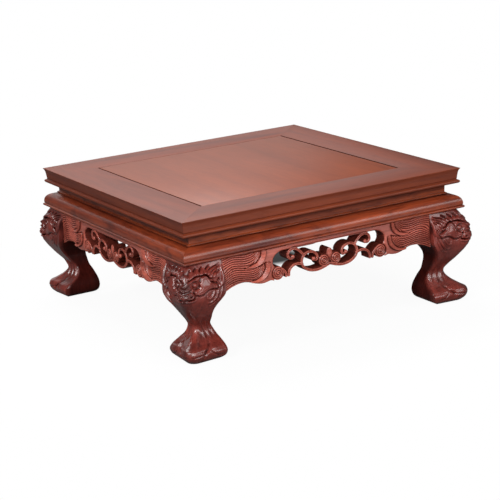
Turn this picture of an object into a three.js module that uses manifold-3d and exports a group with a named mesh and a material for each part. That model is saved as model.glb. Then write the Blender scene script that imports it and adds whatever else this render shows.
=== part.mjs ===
// A carved hardwood bonsai stand in the form of a low waisted table: a mitred frame with a
// floating panel, a recessed waist, a rounded moulding, pierced aprons and four cabriole legs.
// Millimetres, +Z up, floor at z = 0, the stand's vertical axis at x = y = 0, front towards -Y.
import * as THREE from "three";
import { mergeVertices } from "three/addons/utils/BufferGeometryUtils.js";
import Module from "manifold-3d";

const wasm = await Module();
wasm.setup();

// Driving dimensions
const SIDE = 300; // the square top, arris to arris
const HEIGHT = 130; // floor to top
const GAP = 0.3; // clearance at every glued or sliding joint
const OVERLAP = 1; // how far the joined forms of one piece run into each other
const HALF = SIDE / 2;

// Top frame and panel
const RAIL_WIDTH = 42;
const RAIL_UNDERSIDE = 113;
const GROOVE_LOW = 123.7; // the groove that holds the panel's tongue
const GROOVE_HIGH = 127.3;
const GROOVE_DEPTH = 6.3;
const PANEL_UNDERSIDE = 122;
const PANEL_SHRINKAGE_GAP = 1; // open line beside the rails that run along the panel's grain
const TONGUE_REACH = { x: 5.3, y: 6 }; // shorter across the grain, where the panel moves

// Battens that cross the panel's grain from below
const BATTEN_OFFSET = 52;
const BATTEN_WIDTH = 22;
const BATTEN_TENON = { length: 8, width: 10, height: 5 };
const DOVETAIL = { neck: 12, head: 15, height: 2.4, endSetback: 2 };

// Waist, moulding and apron levels
const WAIST_BOTTOM = 104.9;
const MOULDING_TOP = 104.6;
const MOULDING_BOTTOM = 91;
const SHOULDER = 90.7; // top of the aprons and of the leg blocks
const INNER_LINE = 19.5; // inset of the waist's and moulding's back faces

// Legs
const POST = { near: 20, far: 37 }; // insets of the square post above the leg block
const POST_TOP = 112.7;
const FRAME_TENON = { nearInset: 21, width: 5, farInset: 30, length: 6, top: 120.7 };
const BLOCK_WIDTH = 37; // leg block where the apron butts against it

// Aprons
const APRON_FACE = 0.3; // inset of the carved face
const APRON_THICKNESS = 14;
const STRAND_SETBACK = 1.4; // the scrollwork lies a little behind the apron's face
const STRAND_WIDTH = 3;
const OPENING_TOP = 86.7; // underside of the thin rail above the scrollwork
const TOP_STRIP_HALF = 42; // half length of that rail, which ends inside the two wings
const WING_ROOT = 40; // where the wing's outline meets that rail
const WING_NECK = [57, 66]; // inner corner of the wing, behind the rosette
const APRON_TENON = { length: 6, inset: 5, thickness: 5, low: 66, high: 84 };

const SIDES = ["front", "right", "back", "left"];
const CORNERS = ["front_left", "front_right", "back_right", "back_left"];
const MERGE_TOLERANCE = 1e-4;

// Finishes
const lacquer = (color, roughness) =>
  new THREE.MeshStandardMaterial({ color, roughness, metalness: 0 });
const finishes = {
  rail: () => lacquer(0x7a3324, 0.25),
  panel: () => lacquer(0x96553f, 0.25),
  batten: () => lacquer(0x4a241b, 0.6),
  waist: () => lacquer(0x7d3a26, 0.3),
  moulding: () => lacquer(0x84402a, 0.25),
  apron: () => lacquer(0x6b2f25, 0.35),
  leg: () => lacquer(0x5c2a22, 0.3),
};

const stand = new THREE.Group();

// Solids and meshes
function solid(geometry) {
  const merged = mergeVertices(positionsOnly(geometry), MERGE_TOLERANCE);
  return new wasm.Manifold(
    new wasm.Mesh({
      numProp: 3,
      vertProperties: new Float32Array(merged.attributes.position.array),
      triVerts: new Uint32Array(merged.index.array),
    }),
  );
}

function positionsOnly(geometry) {
  const copy = new THREE.BufferGeometry();
  copy.setAttribute("position", geometry.getAttribute("position").clone());
  if (geometry.index) copy.setIndex(geometry.index.clone());
  return copy;
}

function geometryOf(manifold) {
  const { vertProperties, triVerts } = manifold.getMesh();
  const geometry = new THREE.BufferGeometry();
  geometry.setAttribute("position", new THREE.BufferAttribute(vertProperties, 3));
  geometry.setIndex(new THREE.BufferAttribute(triVerts, 1));
  geometry.computeVertexNormals();
  return geometry;
}

function addMesh(name, shape, finish, turn = 0) {
  const mesh = new THREE.Mesh(geometryOf(shape), finish());
  mesh.name = name;
  mesh.rotation.z = (turn * Math.PI) / 2;
  stand.add(mesh);
}

// A box between two corners
function block([x0, y0, z0], [x1, y1, z1]) {
  const box = new THREE.BoxGeometry(x1 - x0, y1 - y0, z1 - z0);
  box.translate((x0 + x1) / 2, (y0 + y1) / 2, (z0 + z1) / 2);
  return solid(box);
}

// A closed section of [inset, height] points carried along the front side and mitred at 45
// degrees at both ends: a point's length along the side shrinks by its own inset.
function mitredBar(section) {
  const shape = new THREE.Shape(section.map(([inset, z]) => new THREE.Vector2(inset, z)));
  const bar = new THREE.ExtrudeGeometry(shape, { depth: 1, steps: 1, bevelEnabled: false });
  const place = bar.getAttribute("position");
  for (let i = 0; i < place.count; i++) {
    const inset = place.getX(i);
    const z = place.getY(i);
    const end = 2 * place.getZ(i) - 1;
    place.setXYZ(i, end * (HALF - inset - GAP / 2), inset - HALF, z);
  }
  return solid(bar);
}

// Points on a smooth curve through [x, y] points
function curvePoints(points, divisions) {
  const curve = new THREE.SplineCurve(points.map(([x, y]) => new THREE.Vector2(x, y)));
  return curve.getPoints(divisions).map((p) => [p.x, p.y]);
}

// Top frame: arris at the top edge, a hollow face, a groove and a bead, then a cove below
const RAIL_FACE = curvePoints([[0, HEIGHT], [1.5, 127], [2.2, 123.2], [2.6, 119.8]], 5);
const RAIL_BEAD = curvePoints([[2.2, 118.7], [0.8, 117.9], [0.5, 116.5], [1.5, 115.3]], 6);
const RAIL_COVE = curvePoints([[3.4, 115.2], [7, 114.7], [9.4, 114], [10.6, RAIL_UNDERSIDE]], 4);
const railSection = [
  ...RAIL_FACE,
  [2.9, 119.2],
  ...RAIL_BEAD,
  ...RAIL_COVE,
  [RAIL_WIDTH, RAIL_UNDERSIDE],
  [RAIL_WIDTH, GROOVE_LOW],
  [RAIL_WIDTH - GROOVE_DEPTH, GROOVE_LOW],
  [RAIL_WIDTH - GROOVE_DEPTH, GROOVE_HIGH],
  [RAIL_WIDTH, GROOVE_HIGH],
  [RAIL_WIDTH, HEIGHT],
];

// The legs' paired tenons, as insets along and across the front rail
const tenonSpan = {
  along: [FRAME_TENON.farInset, FRAME_TENON.farInset + FRAME_TENON.length],
  across: [FRAME_TENON.nearInset, FRAME_TENON.nearInset + FRAME_TENON.width],
};

function railMortises(side) {
  const [alongLow, alongHigh] = tenonSpan.along;
  const [acrossLow, acrossHigh] = tenonSpan.across;
  const cuts = [];
  for (const end of [-1, 1]) {
    const x = [end * (HALF - alongLow + GAP), end * (HALF - alongHigh - GAP)].sort((a, b) => a - b);
    cuts.push(
      block(
        [x[0], acrossLow - GAP - HALF, RAIL_UNDERSIDE - OVERLAP],
        [x[1], acrossHigh + GAP - HALF, FRAME_TENON.top + GAP],
      ),
    );
  }
  if (side === "left" || side === "right") {
    const { length, width, height } = BATTEN_TENON;
    const middle = (RAIL_UNDERSIDE + PANEL_UNDERSIDE) / 2;
    for (const x of [-BATTEN_OFFSET, BATTEN_OFFSET]) {
      cuts.push(
        block(
          [x - width / 2 - GAP, RAIL_WIDTH - length - GAP - HALF, middle - height / 2 - GAP],
          [x + width / 2 + GAP, RAIL_WIDTH + OVERLAP - HALF, middle + height / 2 + GAP],
        ),
      );
    }
  }
  return cuts;
}

SIDES.forEach((side, turn) => {
  let rail = mitredBar(railSection);
  for (const cut of railMortises(side)) rail = rail.subtract(cut);
  addMesh(`top_rail_${side}`, rail, finishes.rail, turn);
});

// Floating panel: a board with a tongue round its edge; its grain runs along Y
const fieldHalf = HALF - RAIL_WIDTH;
const dovetailSection = (extra) => [
  [-DOVETAIL.neck / 2 - extra, PANEL_UNDERSIDE - OVERLAP],
  [DOVETAIL.neck / 2 + extra, PANEL_UNDERSIDE - OVERLAP],
  [DOVETAIL.neck / 2 + extra, PANEL_UNDERSIDE - GAP],
  [DOVETAIL.head / 2 + extra, PANEL_UNDERSIDE + DOVETAIL.height + extra],
  [-DOVETAIL.head / 2 - extra, PANEL_UNDERSIDE + DOVETAIL.height + extra],
  [-DOVETAIL.neck / 2 - extra, PANEL_UNDERSIDE - GAP],
];

// A [y, z] section carried along X between two ends
function barAlongX(section, halfLength, yOffset) {
  const shape = new THREE.Shape(section.map(([y, z]) => new THREE.Vector2(y, z)));
  const bar = new THREE.ExtrudeGeometry(shape, {
    depth: 2 * halfLength,
    steps: 1,
    bevelEnabled: false,
  });
  bar.applyMatrix4(
    new THREE.Matrix4().makeBasis(
      new THREE.Vector3(0, 1, 0),
      new THREE.Vector3(0, 0, 1),
      new THREE.Vector3(1, 0, 0),
    ),
  );
  bar.translate(-halfLength, yOffset, 0);
  return solid(bar);
}

const panelHalfX = fieldHalf - PANEL_SHRINKAGE_GAP;
const panelHalfY = fieldHalf - GAP;
let panel = block(
  [-panelHalfX, -panelHalfY, PANEL_UNDERSIDE],
  [panelHalfX, panelHalfY, HEIGHT],
).add(
  block(
    [-panelHalfX - TONGUE_REACH.x, -panelHalfY - TONGUE_REACH.y, GROOVE_LOW + GAP],
    [panelHalfX + TONGUE_REACH.x, panelHalfY + TONGUE_REACH.y, GROOVE_HIGH - GAP],
  ),
);
for (const y of [-BATTEN_OFFSET, BATTEN_OFFSET]) {
  panel = panel.subtract(barAlongX(dovetailSection(GAP), HALF, y));
}
addMesh("top_panel", panel, finishes.panel);

// Battens: a bar under the panel with a dovetailed rib into it and a tenon at each end
const battenMiddle = (RAIL_UNDERSIDE + PANEL_UNDERSIDE) / 2;
for (const [name, y] of [["front", -BATTEN_OFFSET], ["back", BATTEN_OFFSET]]) {
  const halfLength = fieldHalf - GAP;
  const tenonReach = halfLength + BATTEN_TENON.length;
  const batten = block(
    [-halfLength, y - BATTEN_WIDTH / 2, RAIL_UNDERSIDE + GAP],
    [halfLength, y + BATTEN_WIDTH / 2, PANEL_UNDERSIDE - GAP],
  )
    .add(barAlongX(dovetailSection(0), halfLength - DOVETAIL.endSetback, y))
    .add(
      block(
        [-tenonReach, y - BATTEN_TENON.width / 2, battenMiddle - BATTEN_TENON.height / 2],
        [tenonReach, y + BATTEN_TENON.width / 2, battenMiddle + BATTEN_TENON.height / 2],
      ),
    );
  addMesh(`batten_${name}`, batten, finishes.batten);
}

// Recessed waist with a small fillet at its foot
const waistSection = [
  [11, POST_TOP],
  [11.2, 106.9],
  [10.6, 106.3],
  [9.7, 106],
  [9.4, 105.4],
  [9.7, WAIST_BOTTOM],
  [INNER_LINE, WAIST_BOTTOM],
  [INNER_LINE, POST_TOP],
];

// Rounded moulding: a quarter round above a small bead
const MOULDING_ROUND = curvePoints(
  [[8.4, 104.4], [5.5, 103.9], [2.5, 102.6], [0.3, 100.6], [-0.8, 98.4], [-1.2, 96.2], [-1.1, 94.2]],
  13,
);
const MOULDING_BEAD = curvePoints([[-1.2, 93.8], [-2.2, 93], [-2.2, 92], [-1.3, 91.2]], 6);
const mouldingSection = [
  [INNER_LINE, MOULDING_TOP],
  [8.8, MOULDING_TOP],
  ...MOULDING_ROUND,
  [-0.5, 94],
  ...MOULDING_BEAD,
  [-0.6, MOULDING_BOTTOM],
  [INNER_LINE, MOULDING_BOTTOM],
];

SIDES.forEach((side, turn) => {
  addMesh(`waist_board_${side}`, mitredBar(waistSection), finishes.waist, turn);
  addMesh(`moulding_${side}`, mitredBar(mouldingSection), finishes.moulding, turn);
});

// Aprons, drawn as [distance from the middle, height] on the right half and mirrored
const APRON_END = HALF - BLOCK_WIDTH - GAP;
const WING_LOWER_EDGE = [
  [60.5, 60.2], [64, 61.2], [69, 60.3], [74, 60.1], [80, 61.4], [86, 63.5], [92, 64.5],
  [98, 64.2], [104, 62.4], [109, 60.2], [APRON_END, 58.8],
];
const OPENING_END = [
  [44, OPENING_TOP], [52, 86.3], [57.5, 83.8], [60.5, 79.5], [60.4, 75], [58.2, 71.6],
];
const BIG_VOLUTE = [
  [0, 64.8], [7, 62.4], [14.5, 61.2], [22.5, 62.7], [28.6, 67], [30, 72.8], [27, 77.9],
  [21.4, 79.7], [15.9, 77.9], [13.2, 74], [14.8, 70.9], [17.6, 72.4],
];
const OUTER_STRAND = [[29.5, 69.5], [34.5, 70.9], [39, 70.3], [42.4, 67.8], [43.9, 65], [44.2, 62]];
const FOOT_STRAND = [[47, 61.9], [47.8, 65.5], [51, 69]];
const UPPER_CURL = [
  [28, 78], [31, 81.6], [35, 84.8], [39.6, 85.8], [43.4, 83.6], [44.4, 79.8], [42, 77.2],
  [39.2, 78.2],
];
const ROSETTE = { centre: [55.8, 66.2], radius: 6.3 };
const MIDDLE_SPIRAL = { centre: [6.4, 69], radius: 5.8 };
const BUD = { centre: [0, 74.4], radiusX: 3.3, radiusZ: 5.2 };

// A closed [x, z] outline extruded between two insets from the front face
function relief(outline, nearInset, farInset) {
  const shape = new THREE.Shape(outline.map(([x, z]) => new THREE.Vector2(x, z)));
  const plate = new THREE.ExtrudeGeometry(shape, {
    depth: farInset - nearInset,
    steps: 1,
    bevelEnabled: false,
  });
  plate.rotateX(Math.PI / 2);
  plate.translate(0, farInset - HALF, 0);
  return solid(plate);
}

const mirrored = (points) => points.map(([x, z]) => [-x, z]).reverse();

// A strip of even width along a smooth curve, with blunt ends
function strip(points, width, divisions) {
  const curve = new THREE.SplineCurve(points.map(([x, z]) => new THREE.Vector2(x, z)));
  const left = [];
  const right = [];
  for (let i = 0; i <= divisions; i++) {
    const at = curve.getPoint(i / divisions);
    const along = curve.getTangent(i / divisions);
    left.push([at.x - (along.y * width) / 2, at.y + (along.x * width) / 2]);
    right.unshift([at.x + (along.y * width) / 2, at.y - (along.x * width) / 2]);
  }
  return [...left, ...right];
}

function ellipse([x, z], radiusX, radiusZ, divisions) {
  const outline = [];
  for (let i = 0; i < divisions; i++) {
    const angle = (2 * Math.PI * i) / divisions;
    outline.push([x + radiusX * Math.cos(angle), z + radiusZ * Math.sin(angle)]);
  }
  return outline;
}

const wingOutline = [
  ...curvePoints(WING_LOWER_EDGE, 18),
  [APRON_END, SHOULDER],
  [WING_ROOT, SHOULDER],
  [WING_ROOT, OPENING_TOP],
  ...curvePoints(OPENING_END, 9),
  WING_NECK,
];
const discOf = ({ centre, radius }) => ellipse(centre, radius, radius, 18);
const scrollwork = [
  strip(BIG_VOLUTE, STRAND_WIDTH, 28),
  strip(OUTER_STRAND, STRAND_WIDTH, 7),
  strip(FOOT_STRAND, STRAND_WIDTH, 3),
  strip(UPPER_CURL, STRAND_WIDTH, 16),
  discOf(ROSETTE),
  discOf(MIDDLE_SPIRAL),
];

function apron() {
  const back = APRON_FACE + APRON_THICKNESS;
  const strandNear = APRON_FACE + STRAND_SETBACK;
  const strandFar = back - STRAND_SETBACK;
  const topStrip = [
    [-TOP_STRIP_HALF, OPENING_TOP],
    [TOP_STRIP_HALF, OPENING_TOP],
    [TOP_STRIP_HALF, SHOULDER],
    [-TOP_STRIP_HALF, SHOULDER],
  ];
  const bud = ellipse(BUD.centre, BUD.radiusX, BUD.radiusZ, 14);
  let made = relief(topStrip, APRON_FACE, back).add(relief(bud, strandNear, strandFar));
  for (const half of [(points) => points, mirrored]) {
    made = made.add(relief(half(wingOutline), APRON_FACE, back));
    for (const outline of scrollwork) {
      made = made.add(relief(half(outline), strandNear, strandFar));
    }
  }
  const { length, inset, thickness, low, high } = APRON_TENON;
  const [near, far] = [inset - HALF, inset + thickness - HALF];
  const [root, reach] = [APRON_END - OVERLAP, APRON_END + length];
  return made
    .add(block([-reach, near, low], [-root, far, high]))
    .add(block([root, near, low], [reach, far, high]));
}

SIDES.forEach((side, turn) => addMesh(`apron_${side}`, apron(), finishes.apron, turn));

// Legs. Each level gives the inset of the corner line, the corner's radius, the inset of the
// outer faces at their inner edges, and the inset of the two flat inner faces.
const LEG_LEVELS = [
  // height, corner, radius, edge, inner
  [0, 2.6, 7, 2.5, 30],
  [1.2, 1, 7, 0.8, 32.6],
  [3.5, -1, 7, -1.4, 34.8],
  [8, -2.2, 7, -2.4, 36],
  [12, -1, 7, 0.6, 35.8],
  [16, 3.6, 7, 6.5, 35],
  [20, 8.6, 6, 12, 33.6],
  [25, 12.6, 5, 15, 31.6],
  [30, 13.5, 5, 14.8, 29.3],
  [36, 9.8, 6, 9.6, 28],
  [42, 5, 7, 5, 27.2],
  [47, 1.4, 7, 1.4, 27.6],
  [51.5, -1.6, 7, -1.6, 29.4],
  [55, -3.2, 7, -3.6, 31.8],
  [58, -4.2, 7, -4.7, 34.3],
  [60.5, -4.5, 7, -5, 36.2],
  [64, -4.6, 7, -5, BLOCK_WIDTH],
  [72, -4, 7, -4, BLOCK_WIDTH],
  [80, -1.8, 7, -1.8, BLOCK_WIDTH],
  [86, 1.4, 7, 0.4, BLOCK_WIDTH],
  [SHOULDER, 4.4, 7, 2, BLOCK_WIDTH],
];

// Main forms of the beast mask and of the paw, as mounds and hollows on the outer faces: inset
// from the top's edge, height, reach along and up, and how far each stands out.
const MOUNDS = [
  { inset: -4.8, height: 65, reach: 4.6, rise: 3.8, out: 3.2 }, // snout
  { inset: -4.8, height: 76, reach: 5, rise: 6, out: 1.2 }, // bridge of the nose
  { inset: -3, height: 57.5, reach: 5, rise: 2.4, out: 0.8 }, // chin
  { inset: 7, height: 74.4, reach: 3, rise: 2.6, out: 1.6 }, // eye
  { inset: 8, height: 82.6, reach: 9, rise: 2, out: 1.4 }, // brow
  { inset: 16, height: 71.5, reach: 5.4, rise: 5, out: 1.6 }, // cheek
  { inset: 16, height: 62, reach: 5, rise: 5, out: 0.6 }, // jaw
  { inset: 34.6, height: 79, reach: 2.6, rise: 8, out: 1.5 }, // ear
  { inset: 9, height: 86.8, reach: 9, rise: 2.2, out: 1 }, // forelock
  { inset: 6, height: 9.4, reach: 9, rise: 4.6, out: 0.9 }, // middle toe
  { inset: 27.6, height: 9.4, reach: 6.4, rise: 4.8, out: 1.3 }, // side toe
  { inset: 19.2, height: 12, reach: 1.7, rise: 6.5, out: -1.5 }, // cleft between toes
  { inset: 25.6, height: 25, reach: 2.4, rise: 5, out: 0.9 }, // tendon
];

const OUTER_STEPS = 13; // facets from the corner line to the inner edge
const LEG_RINGS = 34;
const RING_CROWDING = 1.15; // rings stand closer together towards the floor
const MOUND_FADE = 3; // width beside the inner edge over which the mounds die away

function levelAt(z) {
  const at = Math.min(Math.max(z, 0), SHOULDER);
  let i = 1;
  while (LEG_LEVELS[i][0] < at) i++;
  const pick = (k) => LEG_LEVELS[Math.min(Math.max(k, 0), LEG_LEVELS.length - 1)];
  const [before, low, high, after] = [pick(i - 2), pick(i - 1), pick(i), pick(i + 1)];
  const t = (at - low[0]) / (high[0] - low[0]);
  return low.map((value, k) => {
    const slopeLow = (high[k] - before[k]) / (high[0] - before[0] || 1);
    const slopeHigh = (after[k] - low[k]) / (after[0] - low[0] || 1);
    const span = high[0] - low[0];
    return (
      (2 * t ** 3 - 3 * t ** 2 + 1) * value +
      (t ** 3 - 2 * t ** 2 + t) * span * slopeLow +
      (3 * t ** 2 - 2 * t ** 3) * high[k] +
      (t ** 3 - t ** 2) * span * slopeHigh
    );
  });
}

const mounds = (inset, z) =>
  MOUNDS.reduce((sum, form) => {
    const across = ((inset - form.inset) / form.reach) ** 2;
    return sum + form.out * Math.exp(-across - ((z - form.height) / form.rise) ** 2);
  }, 0);

// One face of the section from the corner line outwards, as [inset along, inset across]: an
// eighth of a circle, then a face that leans evenly to its inner edge
function facePoints(z) {
  const [, corner, radius, edge, inner] = levelAt(z);
  const face = corner - radius * (1 - Math.SQRT1_2);
  const centre = face + radius;
  const arcLength = (radius * Math.PI) / 4;
  const points = [];
  for (let i = 0; i <= OUTER_STEPS; i++) {
    const length = ((arcLength + inner - centre) * i) / OUTER_STEPS;
    const angle = Math.min(length / radius, Math.PI / 4) - Math.PI / 4;
    const run = Math.max(0, length - arcLength) / (inner - centre);
    const along = centre + radius * Math.sin(angle) + (inner - centre) * run;
    const across = centre - radius * Math.cos(angle) + (edge - face) * run;
    const out = mounds(along, z) * Math.min(1, (inner - along) / MOUND_FADE);
    points.push([along + Math.sin(angle) * out, across - Math.cos(angle) * out]);
  }
  return points;
}

// A leg is a stack of rings: up one outer face to the corner line, down the other, and
// back through the inner corner.
function legBlock() {
  const positions = [];
  const indices = [];
  let ringSize = 0;
  for (let k = 0; k <= LEG_RINGS; k++) {
    const share = k / LEG_RINGS;
    const crowded = share ** RING_CROWDING * 2 ** (RING_CROWDING - 1);
    const z = SHOULDER * (share < 0.5 ? crowded : share);
    const face = facePoints(z);
    const inner = levelAt(z)[4];
    const middle = (face[OUTER_STEPS][1] + inner) / 2;
    const ring = [
      ...face.slice().reverse(),
      ...face.slice(1).map(([along, across]) => [across, along]),
      [middle, inner],
      [inner, inner],
      [inner, middle],
    ];
    ringSize = ring.length;
    for (const [a, b] of ring) positions.push(a - HALF, b - HALF, z);
  }
  for (let k = 0; k < LEG_RINGS; k++) {
    for (let i = 0; i < ringSize; i++) {
      const j = (i + 1) % ringSize;
      const [a, b] = [k * ringSize + i, k * ringSize + j];
      const [c, d] = [a + ringSize, b + ringSize];
      indices.push(a, c, b, b, c, d);
    }
  }
  for (const [k, flip] of [[0, false], [LEG_RINGS, true]]) {
    const rim = [];
    for (let i = 0; i < ringSize; i++) {
      const at = 3 * (k * ringSize + i);
      rim.push(new THREE.Vector2(positions[at], positions[at + 1]));
    }
    for (const [a, b, c] of THREE.ShapeUtils.triangulateShape(rim, [])) {
      const base = k * ringSize;
      if (flip) indices.push(base + a, base + b, base + c);
      else indices.push(base + a, base + c, base + b);
    }
  }
  const geometry = new THREE.BufferGeometry();
  geometry.setAttribute("position", new THREE.Float32BufferAttribute(positions, 3));
  geometry.setIndex(indices);
  return solid(geometry);
}

function leg() {
  const fromCorner = ([a0, b0, z0], [a1, b1, z1]) =>
    block([a0 - HALF, b0 - HALF, z0], [a1 - HALF, b1 - HALF, z1]);
  const { near, far } = POST;
  const [alongLow, alongHigh] = tenonSpan.along;
  const [acrossLow, acrossHigh] = tenonSpan.across;
  const { inset, thickness, low, high, length } = APRON_TENON;
  const mortiseStart = BLOCK_WIDTH - length - GAP;
  const mortise = [inset - GAP, inset + thickness + GAP];
  return legBlock()
    .add(fromCorner([near, near, SHOULDER - OVERLAP], [far, far, POST_TOP]))
    .add(fromCorner([alongLow, acrossLow, POST_TOP - OVERLAP], [alongHigh, acrossHigh, FRAME_TENON.top]))
    .add(fromCorner([acrossLow, alongLow, POST_TOP - OVERLAP], [acrossHigh, alongHigh, FRAME_TENON.top]))
    .subtract(
      fromCorner([mortiseStart, mortise[0], low - GAP], [BLOCK_WIDTH + OVERLAP, mortise[1], high + GAP]),
    )
    .subtract(
      fromCorner([mortise[0], mortiseStart, low - GAP], [mortise[1], BLOCK_WIDTH + OVERLAP, high + GAP]),
    );
}

CORNERS.forEach((corner, turn) =>
  addMesh(`leg_${corner}`, leg(), finishes.leg, turn),
);

export default stand;
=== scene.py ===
"""A carved hardwood bonsai stand in the form of a low waisted table, lacquered rosewood.

Every shape is drawn in millimetres, with z = 0 at the floor and the stand's axis at x = y = 0,
and becomes metres when its mesh is made. An inset is a distance inwards from the square top's
edge. The front is towards -Y. One piece is drawn for the front side or the front left corner,
and its three copies are turned by quarter turns about the axis.
"""
import math

import bpy
import numpy as np
from mathutils import Matrix, Vector


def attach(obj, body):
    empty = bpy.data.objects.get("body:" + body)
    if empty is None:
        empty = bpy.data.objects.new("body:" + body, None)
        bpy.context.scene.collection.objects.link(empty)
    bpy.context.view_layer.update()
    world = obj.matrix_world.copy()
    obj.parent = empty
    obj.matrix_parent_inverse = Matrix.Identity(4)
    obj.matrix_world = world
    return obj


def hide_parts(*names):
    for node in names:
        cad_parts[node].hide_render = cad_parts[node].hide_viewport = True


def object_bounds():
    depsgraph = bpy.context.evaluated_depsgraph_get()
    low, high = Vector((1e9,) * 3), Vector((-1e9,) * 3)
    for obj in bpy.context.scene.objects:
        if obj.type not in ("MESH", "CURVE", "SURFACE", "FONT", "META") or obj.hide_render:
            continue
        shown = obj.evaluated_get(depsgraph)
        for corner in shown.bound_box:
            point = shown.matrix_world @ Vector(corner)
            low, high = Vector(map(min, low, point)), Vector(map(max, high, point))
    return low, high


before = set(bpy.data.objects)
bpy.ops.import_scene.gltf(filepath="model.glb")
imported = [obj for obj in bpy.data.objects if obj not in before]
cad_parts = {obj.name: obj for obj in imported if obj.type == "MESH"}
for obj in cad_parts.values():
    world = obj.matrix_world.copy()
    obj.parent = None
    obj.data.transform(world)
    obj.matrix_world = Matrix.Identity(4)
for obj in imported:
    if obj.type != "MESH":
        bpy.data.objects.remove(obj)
cad_low, cad_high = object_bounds()

MM = 0.001
box_low, box_high = np.array(cad_low) / MM, np.array(cad_high) / MM

# Driving dimensions
SIDE = 300.0
HALF = SIDE / 2
HEIGHT = 130.0
SIDES = ("front", "right", "back", "left")
CORNERS = ("front_left", "front_right", "back_right", "back_left")

# Top frame and panel
RAIL_WIDTH, RAIL_UNDERSIDE = 42.0, 113.0
GROOVE_LOW, GROOVE_HIGH, GROOVE_DEPTH = 123.7, 127.3, 6.3
PANEL_UNDERSIDE = 122.0
PANEL_DROP, PANEL_ARRIS = 0.05, 0.4  # how far the panel lies below the frame, and its eased edge
PANEL_GAPS = (1.6, 0.15)  # open line beside the side rails, close joint at front and back
TONGUE_REACH, TONGUE_SLACK = 6.0, 0.3
MITRE_GAP = 0.04

# Waist, moulding, aprons
WAIST_TOP, WAIST_BOTTOM = 112.7, 104.9
MOULDING_TOP, MOULDING_BOTTOM = 104.6, 91.0
SHOULDER = 90.7
INNER_LINE = 19.5
APRON_FACE = 0.3
APRON_THICKNESS = 14.0
APRON_END = 112.7
APRON_FOOT = 58.8
STRAND_WIDTH = 2.7
OPENING_TOP = 86.7
WING_ROOT, TOP_STRIP_HALF = 40.0, 46.0  # where the solid end and the thin rail run into each other
APRON_CELL = (0.455, 0.25)  # size of the carving's grid, along and up
RIM_REACH = (0.72, 0.3)  # cells outside and inside the outline that are moved onto it
FLATTEST_SLOPE, END_TOLERANCE = 0.2, 0.01  # the slope is squared

# Legs
POST_NEAR, POST_FAR, POST_TOP = 20.0, 37.0, 112.7
LEG_COLUMNS, LEG_ROWS, INNER_COLUMNS = 146, 312, 8
INNER_FADE, SHOULDER_FADE, FLOOR_FADE = 1.6, 1.2, 1.0  # where the carving dies away
PAW_TOP, MASK_FOOT = 44.0, 52.0  # heights between which the paw's carving gives way to the mask's

# Painted shade, from 0 to 1, that darkens colour and shine. It gathers in the carving, and hidden
# wood is painted nearly black.
HIDDEN_PAINTED_SHADE, BACK_PAINTED_SHADE = 0.85, 0.8
CORNER_SHADE_WIDTH = 0.8
WALL_EDGE = 0.6  # depth over which the walls of the apron's openings darken to painted shade
PIERCED_DARKENING, PIERCED_EASE = 0.3, 8.0  # even darkening added over the pierced part, and where it fades out
APRON_BLUR, APRON_SHADE_RISE = 40, 0.4  # blur passes, and the depth below the blur at which the painted shade is full
LEG_BLUR, LEG_SHADE_START, LEG_SHADE_RISE = 60, 0.05, 0.8


# Curves and outlines


def cubic_span(t, start, end, slope_in, slope_out):
    """The cubic from start to end that has the given slopes at its two ends."""
    return (
        (2 * t**3 - 3 * t**2 + 1) * start
        + (t**3 - 2 * t**2 + t) * slope_in
        + (3 * t**2 - 2 * t**3) * end
        + (t**3 - t**2) * slope_out
    )


def through(points, steps):
    """A smooth curve through the points: each span is the cubic whose end slopes are half the
    chord between the two neighbours, sampled steps times. The end points count twice."""
    points = np.asarray(points, float)
    padded = np.vstack([points[:1], points, points[-1:]])
    before, start, end, after = padded[:-3], padded[1:-2], padded[2:-1], padded[3:]
    t = np.linspace(0, 1, steps, endpoint=False)[:, None, None]
    spans = cubic_span(t, start, end, (end - before) / 2, (after - start) / 2)
    return np.vstack([spans.transpose(1, 0, 2).reshape(-1, points.shape[1]), points[-1:]])


def eased(outline, radius, steps=3, longest=0.4):
    """A closed outline with each corner replaced by a quadratic curve that starts and ends one
    radius away, or the longest share of the edge away where the edge is short."""
    outline = np.asarray(outline, float)
    before, after = (np.roll(outline, turn, axis=0) - outline for turn in (1, -1))
    cut_in, cut_out = (
        edge * np.minimum(radius / np.linalg.norm(edge, axis=1), longest)[:, None]
        for edge in (before, after)
    )
    t = np.linspace(0, 1, steps + 1)[None, :, None]
    corners = outline[:, None] + (1 - t) ** 2 * cut_in[:, None] + t**2 * cut_out[:, None]
    return corners.reshape(-1, 2)


def nearest(x, z, path):
    """For every point of the grid, its distance to a line of short straight pieces, and the
    share of the line's length at the nearest spot."""
    best = np.full(np.shape(x), 1e9)
    share = np.zeros(np.shape(x))
    lengths = np.hypot(*np.diff(path, axis=0).T)
    starts = np.concatenate([[0], np.cumsum(lengths)]) / lengths.sum()
    for (ax, az), (bx, bz), start, stop in zip(path[:-1], path[1:], starts[:-1], starts[1:]):
        dx, dz = bx - ax, bz - az
        t = np.clip(((x - ax) * dx + (z - az) * dz) / (dx * dx + dz * dz), 0, 1)
        distance = np.hypot(x - ax - t * dx, z - az - t * dz)
        closer = distance < best
        best = np.where(closer, distance, best)
        share = np.where(closer, start + t * (stop - start), share)
    return best, share


def inside(x, z, outline):
    """True where a ray to the right crosses the closed outline an odd number of times."""
    crossings = np.zeros(np.shape(x), bool)
    for (ax, az), (bx, bz) in zip(outline, np.roll(outline, -1, axis=0)):
        spans = (az > z) != (bz > z)
        crossings ^= spans & (x < ax + (z - az) * (bx - ax) / (bz - az if bz != az else 1e-9))
    return crossings


def smooth_step(value, low, high):
    """0 below low, 1 above high, and an S curve between them."""
    t = np.clip((value - low) / (high - low), 0, 1)
    return t * t * (3 - 2 * t)


def round_top(distance, half_width, fullness=0.8):
    """The height of a bead of unit height at a distance from its middle line: a circle's arc at
    a fullness of a half, a parabola at one."""
    return np.clip(1 - (distance / half_width) ** 2, 0, 1) ** fullness


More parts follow.
